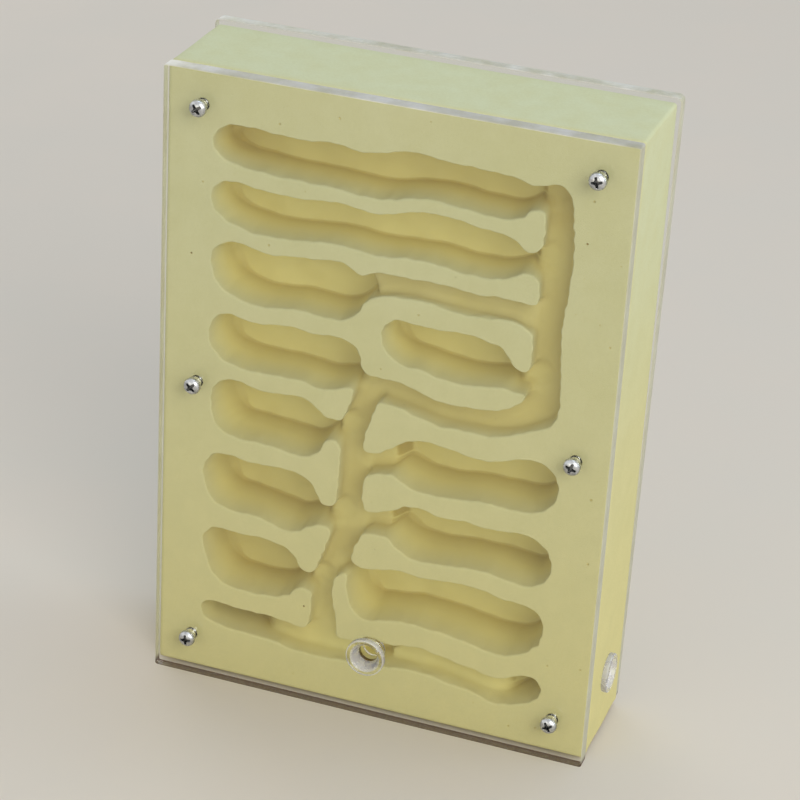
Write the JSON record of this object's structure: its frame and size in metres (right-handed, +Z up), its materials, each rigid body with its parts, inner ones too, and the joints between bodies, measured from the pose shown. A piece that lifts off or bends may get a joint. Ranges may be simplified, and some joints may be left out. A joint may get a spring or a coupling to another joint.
{
  "type": "ant habitat",
  "caption": "Flat plaster ant nest with joined chambers, held between two clear plates by through-bolts, with round tube ports.",
  "frame": {"origin": "under the middle of the bounding box, on the surface the nest stands on", "axes": "+X to the right of someone facing the nest, -Y out of its front, +Z up"},
  "size_m": [0.1534, 0.0524, 0.2155],
  "materials": {
    "plaster": "matt, cast, pale yellow",
    "clear_acrylic": "clear cast sheet, cut edges",
    "clear_soft_plastic": "clear to milky, moulded",
    "zinc_plated_steel": "bright zinc plated"
  },
  "bodies": {
    "block": {"nest_block": "plaster", "right_bushing": "clear_soft_plastic", "left_bushing": "clear_soft_plastic"},
    "cover": {"front_cover": "clear_acrylic", "front_bushing": "clear_soft_plastic"},
    "back": {"back_plate": "clear_acrylic"},
    "screw_top_left": {"screw_top_left": "zinc_plated_steel"},
    "nut_top_left": {"nut_top_left": "zinc_plated_steel", "washer_top_left": "zinc_plated_steel"},
    "screw_top_right": {"screw_top_right": "zinc_plated_steel"},
    "nut_top_right": {"nut_top_right": "zinc_plated_steel", "washer_top_right": "zinc_plated_steel"},
    "screw_middle_left": {"screw_middle_left": "zinc_plated_steel"},
    "nut_middle_left": {"nut_middle_left": "zinc_plated_steel", "washer_middle_left": "zinc_plated_steel"},
    "screw_middle_right": {"screw_middle_right": "zinc_plated_steel"},
    "nut_middle_right": {"nut_middle_right": "zinc_plated_steel", "washer_middle_right": "zinc_plated_steel"},
    "screw_bottom_left": {"screw_bottom_left": "zinc_plated_steel"},
    "nut_bottom_left": {"nut_bottom_left": "zinc_plated_steel", "washer_bottom_left": "zinc_plated_steel"},
    "screw_bottom_right": {"screw_bottom_right": "zinc_plated_steel"},
    "nut_bottom_right": {"nut_bottom_right": "zinc_plated_steel", "washer_bottom_right": "zinc_plated_steel"}
  },
  "joints": [
    {"name": "cover_off", "type": "slide", "parent": "block", "child": "cover", "axis": [0, -1, 0], "range_m": [0, 0.06]},
    {"name": "back_off", "type": "slide", "parent": "block", "child": "back", "axis": [0, 1, 0], "range_m": [0, 0.02]},
    {"name": "screw_out_top_left", "type": "slide", "parent": "cover", "child": "screw_top_left", "axis": [0, -1, 0], "range_m": [0, 0.055]},
    {"name": "nut_off_top_left", "type": "slide", "parent": "back", "child": "nut_top_left", "axis": [0, 1, 0], "range_m": [0, 0.008]},
    {"name": "screw_out_top_right", "type": "slide", "parent": "cover", "child": "screw_top_right", "axis": [0, -1, 0], "range_m": [0, 0.055]},
    {"name": "nut_off_top_right", "type": "slide", "parent": "back", "child": "nut_top_right", "axis": [0, 1, 0], "range_m": [0, 0.008]},
    {"name": "screw_out_middle_left", "type": "slide", "parent": "cover", "child": "screw_middle_left", "axis": [0, -1, 0], "range_m": [0, 0.055]},
    {"name": "nut_off_middle_left", "type": "slide", "parent": "back", "child": "nut_middle_left", "axis": [0, 1, 0], "range_m": [0, 0.008]},
    {"name": "screw_out_middle_right", "type": "slide", "parent": "cover", "child": "screw_middle_right", "axis": [0, -1, 0], "range_m": [0, 0.055]},
    {"name": "nut_off_middle_right", "type": "slide", "parent": "back", "child": "nut_middle_right", "axis": [0, 1, 0], "range_m": [0, 0.008]},
    {"name": "screw_out_bottom_left", "type": "slide", "parent": "cover", "child": "screw_bottom_left", "axis": [0, -1, 0], "range_m": [0, 0.055]},
    {"name": "nut_off_bottom_left", "type": "slide", "parent": "back", "child": "nut_bottom_left", "axis": [0, 1, 0], "range_m": [0, 0.008]},
    {"name": "screw_out_bottom_right", "type": "slide", "parent": "cover", "child": "screw_bottom_right", "axis": [0, -1, 0], "range_m": [0, 0.055]},
    {"name": "nut_off_bottom_right", "type": "slide", "parent": "back", "child": "nut_bottom_right", "axis": [0, 1, 0], "range_m": [0, 0.008]}
  ]
}
